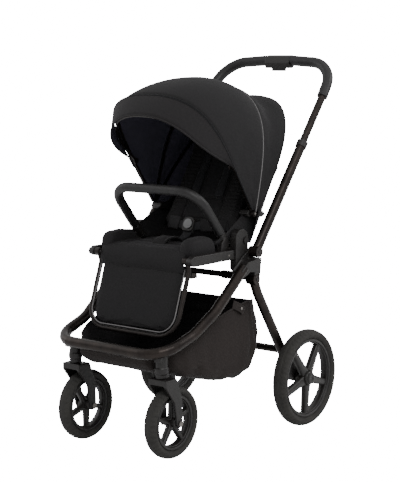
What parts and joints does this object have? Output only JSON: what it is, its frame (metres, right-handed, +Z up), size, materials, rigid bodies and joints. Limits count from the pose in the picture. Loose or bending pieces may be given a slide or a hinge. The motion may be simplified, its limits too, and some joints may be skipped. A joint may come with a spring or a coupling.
{
  "type": "baby stroller",
  "caption": "Full-size folding baby stroller: telescopic push handle, reclining seat with harness, bumper bar, legrest, hooped canopy, cargo basket, caster front wheels.",
  "frame": {"origin": "on the floor, midway between the front and rear axles and between the two sides", "axes": "+Z up, -Y the way the stroller rolls forwards, +X to the seated child's left"},
  "size_m": [0.568, 0.8615, 1.1044],
  "materials": {
    "frame_metal": "satin dark bronze-black anodised look",
    "black_plastic": "fine grained matt",
    "axle_steel": "brushed",
    "tyre_rubber": "matt with tread",
    "rim_plastic": "satin moulded",
    "grip_leather": "soft leatherette with stitched seam",
    "seat_tube": "satin black",
    "seat_fabric": "charcoal woven",
    "webbing": "ribbed webbing",
    "buckle_grey": "smooth grey",
    "canopy_fabric": "charcoal woven with a dark lining",
    "visor_fabric": "charcoal woven, a shade lighter",
    "basket_fabric": "thin brownish black, creased"
  },
  "bodies": {
    "frame": {"front_tube": "frame_metal", "junction_left": "black_plastic", "junction_right": "black_plastic", "cross_tube": "frame_metal", "caster_post_left": "black_plastic", "caster_post_right": "black_plastic", "basket": "basket_fabric"},
    "rear_frame": {"rear_leg_left": "frame_metal", "rear_leg_right": "frame_metal", "rear_cross_tube": "frame_metal", "hub_housing_left": "black_plastic", "hub_housing_right": "black_plastic"},
    "brake": {"brake_pedal": "black_plastic"},
    "handle": {"handle_tube_left": "frame_metal", "handle_tube_right": "frame_metal", "collar_left": "black_plastic", "collar_right": "black_plastic"},
    "handle_top": {"upper_tube_left": "frame_metal", "upper_tube_right": "frame_metal", "grip": "grip_leather", "grip_housing": "black_plastic"},
    "trigger": {"fold_trigger": "black_plastic"},
    "seat": {"seat_hub_left": "black_plastic", "seat_hub_right": "black_plastic", "seat_frame": "black_plastic", "seat_pad": "seat_fabric", "bumper_sockets": "black_plastic", "lap_straps": "webbing", "buckle": "black_plastic"},
    "buckle_button": {"buckle_button": "buckle_grey"},
    "bumper": {"bumper_bar": "grip_leather"},
    "legrest": {"legrest_frame": "seat_tube", "legrest_pad": "seat_fabric"},
    "backrest": {"back_frame": "seat_tube", "back_pad": "seat_fabric", "shoulder_harness": "seat_fabric", "canopy_mounts": "black_plastic", "hoop_rear": "seat_tube", "canopy_rear": "canopy_fabric"},
    "canopy_mid": {"hoop_mid": "seat_tube", "canopy_crown": "canopy_fabric"},
    "canopy_front": {"hoop_front": "seat_tube", "visor": "visor_fabric"},
    "canopy_visor": {"visor_rim": "seat_tube"},
    "caster_left": {"fork_left": "black_plastic", "front_axle_left": "axle_steel"},
    "front_wheel_left": {"front_tyre_left": "tyre_rubber", "front_rim_left": "rim_plastic"},
    "rear_wheel_left": {"rear_tyre_left": "tyre_rubber", "rear_rim_left": "rim_plastic", "hub_cap_left": "rim_plastic"},
    "hub_button_left": {"hub_button_left": "black_plastic"},
    "caster_right": {"fork_right": "black_plastic", "front_axle_right": "axle_steel"},
    "front_wheel_right": {"front_tyre_right": "tyre_rubber", "front_rim_right": "rim_plastic"},
    "rear_wheel_right": {"rear_tyre_right": "tyre_rubber", "rear_rim_right": "rim_plastic", "hub_cap_right": "rim_plastic"},
    "hub_button_right": {"hub_button_right": "black_plastic"}
  },
  "joints": [
    {"name": "handle_fold", "type": "hinge", "parent": "frame", "child": "handle", "pos_m": [0, 0.06, 0.545], "axis": [1, 0, 0], "range_deg": [0, 130]},
    {"name": "rear_fold", "type": "hinge", "parent": "frame", "child": "rear_frame", "pos_m": [0, 0.049, 0.466], "axis": [1, 0, 0], "range_deg": [-58, 0], "deforming": ["basket"]},
    {"name": "handle_height", "type": "slide", "parent": "handle", "child": "handle_top", "axis": [0, 0.6157, 0.788], "range_m": [-0.1, 0]},
    {"name": "fold_trigger", "type": "slide", "parent": "handle_top", "child": "trigger", "axis": [0, 0, 1], "range_m": [0, 0.004], "stiffness_N_per_m": 400, "springref_m": -0.003},
    {"name": "brake_press", "type": "hinge", "parent": "rear_frame", "child": "brake", "pos_m": [0, 0.193, 0.235], "axis": [1, 0, 0], "range_deg": [-12, 0]},
    {"name": "seat_lift", "type": "slide", "parent": "frame", "child": "seat", "axis": [0, 0, 1], "range_m": [0, 0.12]},
    {"name": "bumper_pull", "type": "slide", "parent": "seat", "child": "bumper", "axis": [0, -0.6428, 0.766], "range_m": [0, 0.08]},
    {"name": "buckle_press", "type": "slide", "parent": "seat", "child": "buckle_button", "axis": [0, -0.9135, 0.4067], "range_m": [-0.003, 0], "stiffness_N_per_m": 400, "springref_m": 0.002},
    {"name": "legrest_tilt", "type": "hinge", "parent": "seat", "child": "legrest", "pos_m": [0, -0.195, 0.542], "axis": [1, 0, 0], "range_deg": [-70, 0]},
    {"name": "recline", "type": "hinge", "parent": "seat", "child": "backrest", "pos_m": [0, 0.024, 0.548], "axis": [1, 0, 0], "range_deg": [-35, 0]},
    {"name": "canopy_fold", "type": "hinge", "parent": "backrest", "child": "canopy_mid", "pos_m": [0, 0.088, 0.649], "axis": [1, 0, 0], "range_deg": [-18, 0], "deforming": ["canopy_rear"]},
    {"name": "canopy_open", "type": "hinge", "parent": "canopy_mid", "child": "canopy_front", "pos_m": [0, 0.088, 0.649], "axis": [1, 0, 0], "range_deg": [-41.4, 0], "deforming": ["canopy_crown"]},
    {"name": "visor_fold", "type": "hinge", "parent": "canopy_front", "child": "canopy_visor", "pos_m": [0, -0.00917, 0.79092], "axis": [1, 0, 0], "range_deg": [-12, 0], "deforming": ["visor"]},
    {"name": "caster_swivel_left", "type": "hinge", "parent": "frame", "child": "caster_left", "pos_m": [0.16, -0.298, 0.232], "axis": [0, 0, 1], "continuous": true},
    {"name": "front_spin_left", "type": "hinge", "parent": "caster_left", "child": "front_wheel_left", "pos_m": [0.16, -0.257, 0.102], "axis": [1, 0, 0], "continuous": true},
    {"name": "rear_spin_left", "type": "hinge", "parent": "rear_frame", "child": "rear_wheel_left", "pos_m": [0.257, 0.256, 0.1456], "axis": [1, 0, 0], "continuous": true},
    {"name": "hub_press_left", "type": "slide", "parent": "seat", "child": "hub_button_left", "axis": [1, 0, 0], "range_m": [-0.003, 0], "stiffness_N_per_m": 400, "springref_m": 0.002},
    {"name": "caster_swivel_right", "type": "hinge", "parent": "frame", "child": "caster_right", "pos_m": [-0.16, -0.298, 0.232], "axis": [0, 0, 1], "continuous": true},
    {"name": "front_spin_right", "type": "hinge", "parent": "caster_right", "child": "front_wheel_right", "pos_m": [-0.16, -0.257, 0.102], "axis": [1, 0, 0], "continuous": true},
    {"name": "rear_spin_right", "type": "hinge", "parent": "rear_frame", "child": "rear_wheel_right", "pos_m": [-0.257, 0.256, 0.1456], "axis": [1, 0, 0], "continuous": true},
    {"name": "hub_press_right", "type": "slide", "parent": "seat", "child": "hub_button_right", "axis": [-1, 0, 0], "range_m": [-0.003, 0], "stiffness_N_per_m": 400, "springref_m": 0.002}
  ],
  "couplings": [
    {"joint": "rear_fold", "follows": "handle_fold", "ratio": -0.446},
    {"joint": "canopy_open", "follows": "canopy_fold", "ratio": 2.3}
  ]
}
